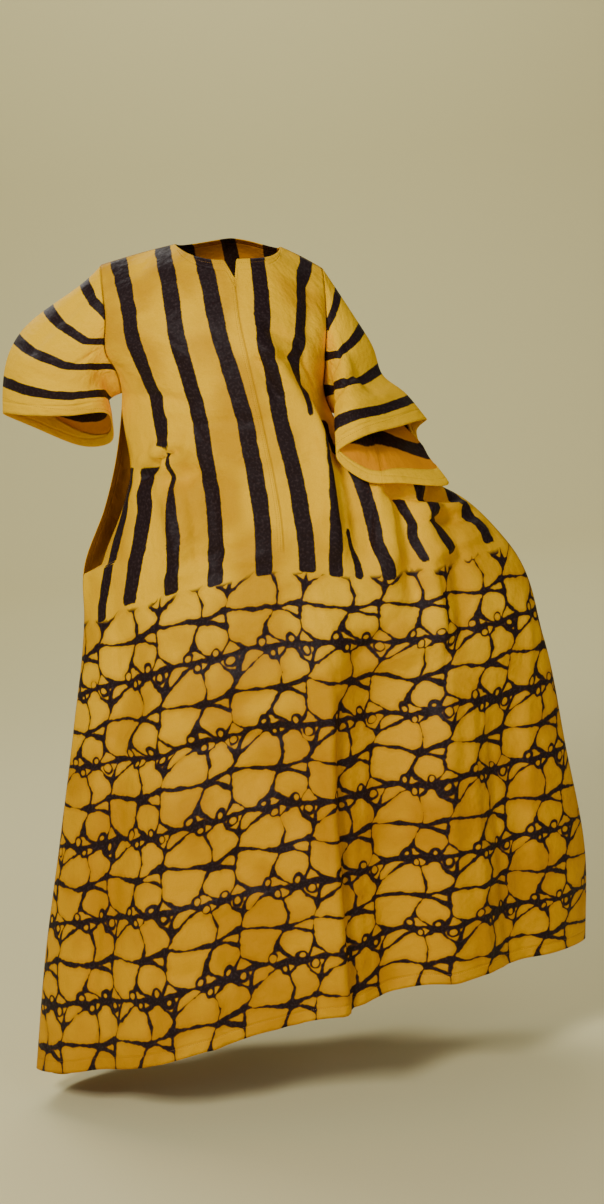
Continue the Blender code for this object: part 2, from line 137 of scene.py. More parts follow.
BACK_FOLDS = table(FOLD_COLUMNS, [
    ("left shoulder fold", -120, 220, -170, 1450, 34, 18),
    ("right shoulder fold", 60, 240, 110, 1450, 36, 20),
    ("centre valley", -30, 440, -30, 1450, 40, -20),
    ("right valley", 160, 520, 210, 1450, 32, -16),
    ("right outer fold", 240, 560, 320, 1450, 36, 17),
    ("left valley", -190, 600, -280, 1450, 34, -15),
    ("left outer fold", -250, 800, -380, 1450, 38, 14),
    ("drag fold to held side", 300, 570, 60, 500, 20, 12),
    ("waist fold", -180, 500, 40, 470, 20, 10),
])

# Sleeve cuffs: the loop of the sleeve's open end, from the top down the front
# to the underarm and up the back. bulge: how far the sleeve swells on the way. All of
# it is in millimetres.
LEFT_CUFF = table("name place bulge", [
    ("outer corner", (-415, 50, -229), (-34, 10, 40)),
    ("front outer", (-365, -24, -235), (-28, -18, 22)),
    ("front middle", (-295, -46, -242), (-12, -22, 4)),
    ("front inner", (-235, -34, -243), (-6, -10, 0)),
    ("underarm", (-228, 30, -262), (-4, 0, 4)),
    ("back inner", (-242, 105, -300), (-10, 10, 0)),
    ("back middle", (-300, 148, -302), (-18, 22, 10)),
    ("back outer", (-378, 118, -258), (-30, 20, 36)),
])
RIGHT_CUFF = table("name place bulge", [
    ("outer corner", (304, -12, -311), (-4, 6, 0)),
    ("front outer", (250, -86, -315), (-8, -16, 0)),
    ("front middle", (188, -134, -323), (0, -30, 4)),
    ("front inner", (142, -128, -350), (2, -22, 10)),
    ("underarm", (186, -120, -396), (16, -12, 14)),
    ("lip", (245, -108, -407), (12, 0, 18)),
    ("lip end", (326, -44, -423), (6, 18, 12)),
    ("back lower", (302, 4, -388), (0, 18, 0)),
    ("back upper", (288, 34, -334), (0, 12, 0)),
])

# Columns of half a panel, its rows above and below the underarm, and its table rows.
HALF_COLUMNS = 84
ARMHOLE_ROWS = 62
LOWER_ROWS = 168
TABLE_DROPS = np.linspace(0.0, LENGTH, 460)

# Fine creases pressed or pulled into the front: a ridge or a valley along a line
# on the cloth, in millimetres as above.
FRONT_CREASES = table(FOLD_COLUMNS, [
    ("pressed crease on centre of skirt", 30, 600, 84, 850, 4.5, -3),
    ("pressed crease across waist", -190, 371, 30, 384, 5, -3),
    ("pressed crease on right of skirt", 280, 590, 276, 880, 5, -3.8),
    ("pressed crease on left of skirt", -318, 630, -342, 870, 5, -2.8),
    ("edge of centre skirt fold", 64, 830, 74, 1420, 11, 8.5),
    ("sharp side of deep valley", 88, 840, 98, 1420, 13, -12.5),
    ("floor of deep valley", 205, 800, 215, 1430, 42, -19),
    ("small fold in deep valley", 140, 880, 150, 1420, 12, 3.5),
    ("far side of deep valley", 282, 820, 280, 1430, 20, 9),
    ("sharp nick of waist tuck", -250, 446, -146, 411, 7, -15),
    ("lip of waist tuck", -262, 427, -150, 396, 8, 7.5),
    ("chest fold at right", 34, 286, 108, 260, 7.5, -4),
    ("lip of chest fold", 40, 268, 112, 244, 8, 3),
    ("slanting fold by centre", 10, 278, 34, 350, 8, -6),
    ("top of long ridge", 98, 320, 92, 440, 10, 7),
    ("shadow side of long ridge", 118, 330, 108, 560, 9, -8.5),
    ("lower end of long ridge", 90, 430, 75, 600, 9, 4.5),
    ("pull under right sleeve", 185, 470, 150, 600, 8, -6.5),
    ("fold beside that pull", 215, 480, 200, 610, 9, 5.5),
    ("pull to held side", 400, 545, 205, 505, 9, -12.5),
    ("fold over that pull", 395, 525, 230, 485, 8.5, 8.5),
    ("second pull to held side", 420, 572, 250, 556, 8.5, -12),
    ("fold over second pull", 415, 558, 270, 534, 8, 8),
    ("third pull to held side", 425, 598, 300, 606, 8.5, 8.5),
    ("pull from right armhole", 150, 300, 118, 250, 8, -5),
    ("shade below right shoulder", 150, 60, 128, 200, 14, -6),
    ("pull from left armhole", -195, 330, -110, 352, 8.5, -4.5),
    ("soft wave on left breast", -175, 180, -70, 300, 14, 4),
    ("shoulder pull at left", -160, 50, -140, 190, 11, -4),
    ("soft fold under tuck", -205, 460, -180, 600, 11, 6),
    ("valley beside it", -150, 440, -148, 600, 11, -5.5),
    ("soft band above print", -240, 604, -20, 600, 9, 4),
    ("shadow over soft band", -200, 586, -60, 580, 8, -3.5),
    ("slanting fold over thigh", -335, 846, 20, 846, 14, 6),
    ("shadow under that fold", -330, 872, 0, 890, 11, -9),
    ("hollow by centre fold", -70, 930, 24, 1060, 24, -11),
    ("hollow at knee", -120, 1070, -45, 1125, 18, -8),
    ("fold over shin", -308, 1131, -25, 1149, 15, 6.5),
    ("fold on right thigh", 130, 790, 300, 740, 15, 5.5),
    ("shadow on right thigh", 110, 780, 200, 690, 13, -6),
    ("shin fold", -270, 1230, -60, 1260, 15, -5.5),
    ("long soft fold at left", -350, 960, -400, 1370, 13, 6),
    ("long valley at left", -235, 1000, -275, 1380, 14, -6.5),
    ("long fold at right", 330, 860, 352, 1380, 12, 5),
    ("long valley at right", 380, 900, 405, 1380, 13, -6),
    ("fold by right side", 450, 700, 470, 1250, 11, 4.5),
    ("hem ripple at left", -150, 1200, -160, 1400, 13, 5.5),
    ("hem ripple near centre", -40, 1220, -30, 1400, 12, -5.5),
])

BACK_CREASES = table(FOLD_COLUMNS, [
    ("centre fold of back", 12, 180, 20, 1360, 10, 4.5),
    ("pressed crease across seat", -240, 560, 240, 565, 5, -2),
    ("pull from right armhole", 150, 290, 40, 360, 9, -4.5),
    ("pull from left armhole", -185, 300, -80, 380, 9, -4.5),
    ("pull to held side", 400, 540, 230, 500, 8, -6.5),
    ("second pull to held side", 410, 570, 250, 590, 8, 6),
    ("left long fold", -140, 420, -200, 1360, 11, 5),
    ("left long valley", -85, 520, -110, 1360, 11, -5),
    ("right long fold", 150, 460, 190, 1360, 11, 5),
    ("right long valley", 260, 640, 310, 1360, 12, -5.5),
    ("outer fold at left", -300, 720, -400, 1360, 12, 5),
    ("outer fold at right", 380, 700, 450, 1360, 12, 4.5),
    ("slanting fold over seat", -200, 700, 120, 660, 14, 4.5),
    ("slanting fold over calf", -280, 1020, 50, 1060, 14, -4.5),
    ("shoulder fold", -120, 80, -110, 260, 10, -3.5),
])


def section_values(name, drops):
    """Read one column of the body sections at many drops, along a smooth curve."""
    rows = np.array([row["drop"] for row in BODY_SECTIONS])
    values = np.array([row[name] for row in BODY_SECTIONS])
    slopes = np.gradient(values, rows)
    drops = np.clip(drops, rows[0], rows[-1])
    index = np.clip(np.searchsorted(rows, drops, side="right") - 1, 0, len(rows) - 2)
    span = rows[index + 1] - rows[index]
    share = (drops - rows[index]) / span
    return ((2 * share ** 3 - 3 * share ** 2 + 1) * values[index]
            + (3 * share ** 2 - 2 * share ** 3) * values[index + 1]
            + (share ** 3 - 2 * share ** 2 + share) * span * slopes[index]
            + (share ** 3 - share ** 2) * span * slopes[index + 1])


def smooth_step(low, high, value):
    """Go from 0 at low to 1 at high with soft ends."""
    share = np.clip((value - low) / (high - low), 0.0, 1.0)
    return share * share * (3.0 - 2.0 * share)


def fold_heights(folds, across, drop):
    """Add up the ridges and valleys at many places on the cloth."""
    height = np.zeros(np.broadcast(across, drop).shape)
    for fold in folds:
        start_x = fold["across"] * MM
        start_y = fold["drop"] * MM
        line_x = fold["to_across"] * MM - start_x
        line_y = fold["to_drop"] * MM - start_y
        length = math.hypot(line_x, line_y)
        offset_x = across - start_x
        offset_y = drop - start_y
        along = (offset_x * line_x + offset_y * line_y) / length ** 2
        beside = np.abs(offset_x * line_y - offset_y * line_x) / length
        past_end = np.maximum(0.0, np.maximum(-along, along - 1.0)) * length
        spread = np.hypot(beside, past_end) / (fold["width"] * MM)
        fade = smooth_step(0.0, 0.25, along + 0.10) * smooth_step(0.0, 0.25, 1.10 - along)
        height += fold["depth"] * MM * np.exp(-spread ** 2) * fade
    return height


def half_panel(side, face):
    """Places on half a panel for each table drop and column, with across distances."""
    edge = "left" if side < 0 else "right"
    outward = -1.0 if face == "front" else 1.0
    angles = np.linspace(0.0, math.pi / 2, 361)
    out = np.sin(angles)
    distances = np.zeros((len(TABLE_DROPS), HALF_COLUMNS + 1))
    places = np.zeros(distances.shape + (3,))
    pushes = np.zeros(distances.shape + (2,))
    names = ("middle_x", "middle_z", edge + "_x", edge + "_z", "side_y", face + "_y",
             "roundness", "droop")
    columns = [section_values(name, TABLE_DROPS) for name in names]
    for row, drop in enumerate(TABLE_DROPS):
        middle_x, middle_z, edge_x, edge_z, edge_y, middle_y, roundness, droop = [
            column[row] for column in columns]
        if drop < UNDERARM_DROP:
            opening = math.sqrt(1.0 - (2.0 * drop / UNDERARM_DROP - 1.0) ** 2)
            edge_y += ARMHOLE_HALF_WIDTH * opening * outward
        if side < 0 and face == "front":
            opened = smooth_step(SLIT_TOP - 0.05, SLIT_TOP + 0.05, drop)
            opened *= 1.0 - smooth_step(SLIT_BOTTOM - 0.008, SLIT_BOTTOM + 0.008, drop)
            edge_x += SLIT_SETBACK * opened
            edge_y -= SLIT_FORWARD * opened
        if face == "back":
            middle_z -= BACK_EXTRA_DROP * smooth_step(0.62, LENGTH, drop)
        xs = middle_x + (edge_x - middle_x) * out
        ys = edge_y + (middle_y - edge_y) * np.cos(angles) ** (2.0 / roundness)
        zs = middle_z + (edge_z - middle_z) * out ** droop
        if side > 0 and face == "front":
            sag = smooth_step(0.44, 0.62, drop) * (1.0 - smooth_step(0.62, 1.0, drop))
            zs -= HIP_SAG * sag * np.sin(math.pi * out)
            zs += FRONT_HEM_LIFT * smooth_step(1.0, LENGTH, drop) * np.sin(math.pi * out)
        if side < 0 and face == "back":
            zs -= BACK_HEM_SAG * smooth_step(1.1, LENGTH, drop) * np.sin(math.pi * out ** 5)
        travelled = np.concatenate([[0.0], np.cumsum(np.hypot(np.diff(xs), np.diff(ys)))])
        wanted = np.linspace(0.0, travelled[-1], HALF_COLUMNS + 1)
        for axis, values in enumerate((xs, ys, zs)):
            places[row, :, axis] = np.interp(wanted, travelled, values)
        ahead = np.minimum(wanted + 0.004, travelled[-1])
        behind = np.maximum(wanted - 0.004, 0.0)
        run_x = np.interp(ahead, travelled, xs) - np.interp(behind, travelled, xs)
        run_y = np.interp(ahead, travelled, ys) - np.interp(behind, travelled, ys)
        run = np.hypot(run_x, run_y)
        pushes[row, :, 0] = run_y / run * side * -outward
        pushes[row, :, 1] = np.abs(run_x) / run * outward
        distances[row] = wanted
    folds = FRONT_FOLDS if face == "front" else BACK_FOLDS
    calm = smooth_step(0.0, 0.050, distances[:, -1:] - distances)
    heights = fold_heights(folds, side * distances, TABLE_DROPS[:, None]) * calm
    places[:, :, 0] += pushes[:, :, 0] * heights
    places[:, :, 1] += pushes[:, :, 1] * heights
    steps = np.linalg.norm(np.diff(places, axis=1), axis=2)
    across = np.concatenate([np.zeros((len(steps), 1)), np.cumsum(steps, axis=1)], axis=1)
    return places, side * across, side * distances


def panel_grid(face):
    """Rows of one panel from the neck down: places, cloth coordinates, seam distance."""
    depth = NECK_FRONT_DROP if face == "front" else NECK_BACK_DROP
    halves = []
    for side in (-1, 1):
        places, across, plain_across = half_panel(side, face)
        neck = NECK_LEFT if side < 0 else NECK_RIGHT
        shares = np.linspace(0.0, 1.0, HALF_COLUMNS + 1)
        tops = depth * np.sqrt(np.clip(1.0 - (shares / neck) ** 2, 0.0, 1.0))
        if face == "front":
            tops += NOTCH_DROP * np.clip(1.0 - shares / NOTCH_SHARE, 0.0, 1.0)
        upper = np.linspace(0.0, 1.0, ARMHOLE_ROWS + 1)[:, None]
        lower = np.linspace(0.0, 1.0, LOWER_ROWS + 1)[1:, None]
        drops = np.concatenate([
            tops[None, :] + (UNDERARM_DROP - tops[None, :]) * upper,
            np.repeat(UNDERARM_DROP + (LENGTH - UNDERARM_DROP) * lower,
                      HALF_COLUMNS + 1, axis=1)])
        grid = np.zeros(drops.shape + (6,))
        for column in range(HALF_COLUMNS + 1):
            sources = [places[:, column, axis] for axis in range(3)]
            sources += [across[:, column], plain_across[:, column]]
            for slot, values in enumerate(sources):
                grid[:, column, slot] = np.interp(drops[:, column], TABLE_DROPS, values)
        grid[:, :, 5] = drops
        halves.append(grid)
    return np.concatenate([halves[0][:, ::-1], halves[1][:, 1:]], axis=1)


def outward_normals(places, closed, facing):
    """Unit normals of a grid of places, pointing out of the robe."""
    down = np.gradient(places, axis=0)
    if closed:
        sideways = np.roll(places, -1, axis=1) - np.roll(places, 1, axis=1)
    else:
        sideways = np.gradient(places, axis=1)
    normals = np.cross(sideways, down) * facing
    lengths = np.linalg.norm(normals, axis=2, keepdims=True)
    return normals / np.maximum(lengths, 1e-9)


def pressed(places, creases, across, drop, calm, closed, facing):
    """Press creases into a grid of places; gives the places and their normals."""
    heights = fold_heights(creases, across, drop) * calm
    places = places + outward_normals(places, closed, facing) * heights[:, :, None]
    return places, outward_normals(places, closed, facing)


def turned_edge(surface, cloth, turn, *measures):
    """Add rows of cloth turned in at the grid's last row, lying on its inside."""
    places, normals = surface
    steps = np.linalg.norm(places[-1] - places[-2], axis=1).mean()
    count = max(2, int(round(turn / steps)))
    new_places = []
    new_cloth = []
    for step in range(count + 1):
        source = -1 - step
        gap = HEM_GAP * (0.75 if step == 0 else 1.0)
        new_places.append(places[source] - normals[source] * gap)
        new_cloth.append(cloth[-1] + (cloth[-1] - cloth[source]))
    return [np.concatenate([places, new_places]), np.concatenate([cloth, new_cloth]),
            *[np.concatenate([rows, rows[-2:-3 - count:-1]]) for rows in measures]]


def linked(name, data):
    """Put a new object with this mesh, lamp or camera into the scene."""
    item = bpy.data.objects.new(name, data)
    bpy.context.scene.collection.objects.link(item)
    return item


def cloth_object(name, places, cloth, measures, closed, facing, materials):
    """Mesh of one cut piece, face and reverse, with its cloth coordinates and distances."""
    rows, columns = places.shape[:2]
    index = np.arange(rows * columns).reshape(rows, columns)
    if closed:
        index = np.concatenate([index, index[:, :1]], axis=1)
    quads = np.stack([index[:-1, :-1], index[:-1, 1:], index[1:, 1:], index[1:, :-1]],
                     axis=-1).reshape(-1, 4)
    if facing < 0:
        quads = quads[:, ::-1]
    mesh = bpy.data.meshes.new(name)
    mesh.from_pydata(places.reshape(-1, 3).tolist(), [], quads.tolist())
    flat = cloth.reshape(-1, 2)
    corners = flat[quads].copy()
    if closed:
        wide = corners[:, :, 0].max(axis=1) - corners[:, :, 0].min(axis=1)
        full = flat[:, 0].max()
        wrapped = (wide > 0.5 * full)[:, None] & (corners[:, :, 0] < 0.25 * full)
        corners[:, :, 0] += np.where(wrapped, measures["round"], 0.0)
    layer = mesh.uv_layers.new(name="cloth")
    layer.data.foreach_set("uv", corners.reshape(-1).astype(np.float32))
    for label in ("edge", "seam", "stripe"):
        attribute = mesh.attributes.new(label, "FLOAT", "POINT")
        attribute.data.foreach_set("value", measures[label].reshape(-1).astype(np.float32))
    mesh.shade_smooth()
    mesh.validate()
    for material in materials:
        mesh.materials.append(material)
    piece = linked(name, mesh)
    shell = piece.modifiers.new("thickness", "SOLIDIFY")
    shell.thickness = CLOTH_THICK
    shell.offset = -1.0
    shell.use_even_offset = False
    # The inner faces take the second material, a darker, more orange copy of the cloth: painted
    # shade.
    shell.material_offset = 1
    bpy.ops.object.select_all(action="DESELECT")
    piece.select_set(True)
    bpy.context.view_layer.objects.active = piece
    bpy.ops.object.modifier_apply(modifier=shell.name)
    return piece


# ------------------------------------------------------------- the dyed cotton
# Plain-woven cotton, dyed yellow and printed in near-black: stripes on the bodice,
# a crackle of stones and branches on the skirt. A glaze gives it a faint sheen.

# The drop of the print's top edge in metres, and in millimetres the size of one repeat
# and where its corner lies.
PRINT_TOP = 0.612
REPEAT_WIDE = 128.0
REPEAT_HIGH = 130.0
BRANCH_ACROSS = 22.0
BRANCH_BELOW_TOP = 72.0

# The branches and cracks of one repeat, given as lines of points, each with its shares
# of the repeat across and down and the line's width there in millimetres.
PRINT_BRANCHES = [
    ((0, 0, 13), (-0.15, -0.012, 5.2), (-0.6, -0.088, 4)),
    ((-0.67, -0.082, 12), (-0.58, -0.092, 4.6)),
    ((0, 0, 13), (0.14, -0.035, 5.2), (0.35, -0.09, 9)),
    ((0, 0, 11), (0.15, 0.036, 4.2), (0.335, 0.112, 7.5)),
    ((0.35, -0.085, 5.5), (0.35, 0.02, 2.6), (0.338, 0.112, 5)),
    ((0.355, -0.1, 4.5), (0.415, -0.2, 2.4), (0.432, -0.292, 11.5)),
    ((0.338, 0.12, 3.4), (0.355, 0.27, 2.8), (0.47, 0.355, 3.6), (0.57, 0.428, 6.5)),
    ((0.355, 0.27, 2.4), (0.25, 0.44, 4.6)),
    ((0.13, 0.472, 11), (0.23, 0.462, 13.5)),
    ((0.23, 0.462, 12), (0.37, 0.452, 6.5), (0.54, 0.442, 10.5)),
    ((0.57, 0.436, 9.5), (0.72, 0.44, 6.5), (0.85, 0.482, 13.5)),
    ((0.85, 0.482, 12.5), (0.985, 0.448, 7), (1.13, 0.472, 11.5)),
    ((0, 0.015, 4.5), (-0.06, 0.1, 3), (-0.115, 0.2, 4)),
    ((-0.115, 0.2, 3.6), (-0.13, 0.275, 12)),
    ((-0.13, 0.275, 7), (-0.215, 0.345, 3.2), (-0.255, 0.425, 4.6)),
    ((-0.13, 0.275, 6.5), (-0.05, 0.345, 4.6), (0.12, 0.455, 6.5)),
    ((-0.14, 0.5, 6), (-0.07, 0.56, 4), (-0.005, 0.59, 3.6)),
    ((0.12, 0.48, 6), (0.085, 0.54, 4), (-0.005, 0.59, 3.6)),
    ((-0.005, 0.59, 3.4), (0.048, 0.8, 2.4), (0.01, 0.985, 4.6)),
    ((0.845, 0.5, 5), (0.715, 0.56, 3), (0.52, 0.68, 3.4), (0.44, 0.705, 8.5)),
    ((0.545, 0.455, 5), (0.475, 0.56, 3.6), (0.44, 0.69, 8)),
    ((0.225, 0.48, 5), (0.3, 0.6, 2.8), (0.425, 0.695, 6.5)),
]
# Small round stones that lie in the thick rows, with their half widths in millimetres.
PRINT_PEBBLES = table("middle half", [
    ((0.372, 0.52), 6),
    ((0.79, 0.386), 5.4),
    ((0.935, 0.532), 4.8),
    ((0.19, 0.398), 4.6),
])
PEBBLE_RIM = 4.2
# Millimetres over which branches and stones melt together, how far from a branch it
# still counts, and how far the print is warped and its lines swell and thin.
BRANCH_BLEND = 4.4
PEBBLE_BLEND = 5.0
BRANCH_REACH = 9.0
FAR_AWAY = 1000.0
WARP = 20.0
FINE_WARP = 3.6
LINE_SWELL = 9.0
LINE_THIN = 4.9
# Metres by which the stripes' edges wander and fray, and the print's top is ragged.
STRIPE_WANDER = 0.0046
STRIPE_FRAY = 0.0014
STRIPE_SOFT = 0.001
RAGGED = 0.030
# Real threads lie 0.5 mm apart. They are drawn coarser, because that is too fine to show.
WEAVE_PITCH = 0.0044
# Soft noise on the cloth: blobs per metre, octaves, their strength, and the output.
NOISE_COLUMNS = "name scale detail rough out"
NOISES = table(NOISE_COLUMNS, [
    ("wobble", 28, 2, 0.5, "Fac"),
    ("frayed", 160, 1, 0.5, "Fac"),
    ("patches", 7, 2, 0.5, "Fac"),
    ("mottle", 420, 1, 0.7, "Fac"),
    ("wear", 240, 1, 0.5, "Fac"),
    ("pucker", 55, 1, 0.5, "Fac"),
    ("crumple", 26, 2, 0.55, "Fac"),
    ("fine crumple", 90, 1, 0.6, "Fac"),
])
SKIRT_NOISES = table(NOISE_COLUMNS, [
    ("ragged top", 14, 2, 0.5, "Fac"),
    ("warp", 9, 2, 0.5, "Color"),
    ("fine warp", 60, 1, 0.5, "Color"),
])


def linear(hex_colour):
    """Turn an sRGB hex colour into the linear values that a shader takes."""
    values = [int(hex_colour[index:index + 2], 16) / 255.0 for index in (1, 3, 5)]
    return [v / 12.92 if v <= 0.04045 else ((v + 0.055) / 1.055) ** 2.4 for v in values] + [1.0]


# Settings of the nodes that come up most.
SOFT = dict(interpolation_type="SMOOTHSTEP")
TIMES = dict(operation="MULTIPLY")
TIMES_ADD = dict(operation="MULTIPLY_ADD")
MINUS = dict(operation="SUBTRACT")
COLOURS = dict(data_type="RGBA")


def add(tree, kind, inputs=(), out=0, **settings):
    """Add a node with its settings and its values or links, and give one output."""
    node = tree.nodes.new("ShaderNode" + kind)
    for name, value in settings.items():
        setattr(node, name, value)
    for slot, value in inputs.items() if isinstance(inputs, dict) else enumerate(inputs):
        if isinstance(value, bpy.types.NodeSocket):
            tree.links.new(value, node.inputs[slot])
        else:
            node.inputs[slot].default_value = value
    return node.outputs[out]


def crackle_distance(tree, place):
    """Distance in millimetres to the nearest branch or stone's rim, less than 0 inside."""
    repeat = Vector((REPEAT_WIDE, REPEAT_HIGH, 0.0))
    wrapped = add(tree, "VectorMath", (place, (REPEAT_WIDE, REPEAT_HIGH, 1.0),
                                       (0.0, 0.0, 0.0)), operation="WRAP")
    lines = [line for branch in PRINT_BRANCHES for line in zip(branch, branch[1:])]
    turns = itertools.product(range(-1, 3), range(-1, 3))
    nearest = FAR_AWAY
    for line, turn in itertools.product(lines, turns):
        start, end = [Vector((point[0] + turn[0], point[1] + turn[1], 0.0)) * repeat
                      for point in line]
        if any(max(start[axis], end[axis]) < -BRANCH_REACH
               or min(start[axis], end[axis]) > repeat[axis] + BRANCH_REACH
               for axis in range(2)):
            continue
        half, end_half = [point[2] / 2.0 for point in line]
        run = end - start
        offset = add(tree, "VectorMath", (wrapped, start), **MINUS)
        along = add(tree, "VectorMath", (offset, run / run.length_squared), "Value",
                    operation="DOT_PRODUCT")
        share = add(tree, "Clamp", (along,))
        back = add(tree, "VectorMath", {0: -run, "Scale": share}, operation="SCALE")
        beside = add(tree, "VectorMath", (offset, back))
        away = add(tree, "VectorMath", (beside,), "Value", operation="LENGTH")
        less = add(tree, "Math", (share, half - end_half, -half), **TIMES_ADD)
        gap = add(tree, "Math", (away, less))
        nearest = add(tree, "Math", (nearest, gap, BRANCH_BLEND), operation="SMOOTH_MIN")
    for pebble in PRINT_PEBBLES:
        middle = Vector((*pebble["middle"], 0.0)) * repeat
        away = add(tree, "VectorMath", (wrapped, middle), "Value", operation="DISTANCE")
        rim = add(tree, "Math", (away, pebble["half"] + PEBBLE_RIM), **MINUS)
        nearest = add(tree, "Math", (nearest, rim, PEBBLE_BLEND), operation="SMOOTH_MIN")
        inside = add(tree, "Math", (pebble["half"], away), **MINUS)
        nearest = add(tree, "Math", (nearest, inside), operation="MAXIMUM")
    return nearest


def cotton_relief(tree, on_body, noise, across, drop, edge, seam):
    """Height of crumpled cloth with weave, stitch lines and puckers, and the lines that get
    painted shade.
    """
    stitch = add(tree, "Math", (edge, HEM_STITCH), **MINUS)
    stitch = add(tree, "Math", (stitch,), operation="ABSOLUTE")
    stitch = add(tree, "MapRange", (stitch, 0.0, 0.0035, 1.0, 0.0), **SOFT)
    near_seam = add(tree, "MapRange", (seam, 0.004, 0.030, 0.9, 0.0), **SOFT)
    near_edge = add(tree, "MapRange", (edge, 0.014, 0.040, 0.6, 0.0), **SOFT)
    pucker = add(tree, "Math", (near_seam, near_edge))
    pucker = add(tree, "Math", (noise["pucker"], pucker), **TIMES)
    turns = [add(tree, "Math", (way, 2.0 * math.pi / WEAVE_PITCH), **TIMES)
             for way in (drop, across)]
    weave = add(tree, "Math", [add(tree, "Math", (turn,), operation="SINE")
                               for turn in turns], **TIMES)
    seam = add(tree, "MapRange", (seam, 0.0, 0.0040, 1.0, 0.0), **SOFT)
    heights = [(noise["crumple"], 0.0042), (noise["fine crumple"], 0.0010),
               (pucker, 0.0022), (stitch, -0.0009), (seam, -0.0016), (weave, 0.00003)]
    # The seams dip, and they also darken the colour: painted shade in their grooves.
    painted_seam_shade = [seam]
    if on_body:
        below_neck = add(tree, "MapRange", (drop, 0.130, 0.145), **SOFT)
        above_print = add(tree, "MapRange", (drop, 0.585, 0.605, 1.0, 0.0), **SOFT)
        middle = add(tree, "Math", (across,), operation="ABSOLUTE")
        middle = add(tree, "MapRange", (middle, 0.0, 0.0022, 1.0, 0.0), **SOFT)
        placket = add(tree, "Math", (below_neck, above_print), **TIMES)
        placket = add(tree, "Math", (middle, placket), **TIMES)
        heights.append((placket, -0.0014))
        # The centre front line gets the same painted shade.
        painted_seam_shade.insert(0, placket)
    relief = 0.0
    for source, height in heights:
        relief = add(tree, "Math", (source, height, relief), **TIMES_ADD)
    return relief, painted_seam_shade


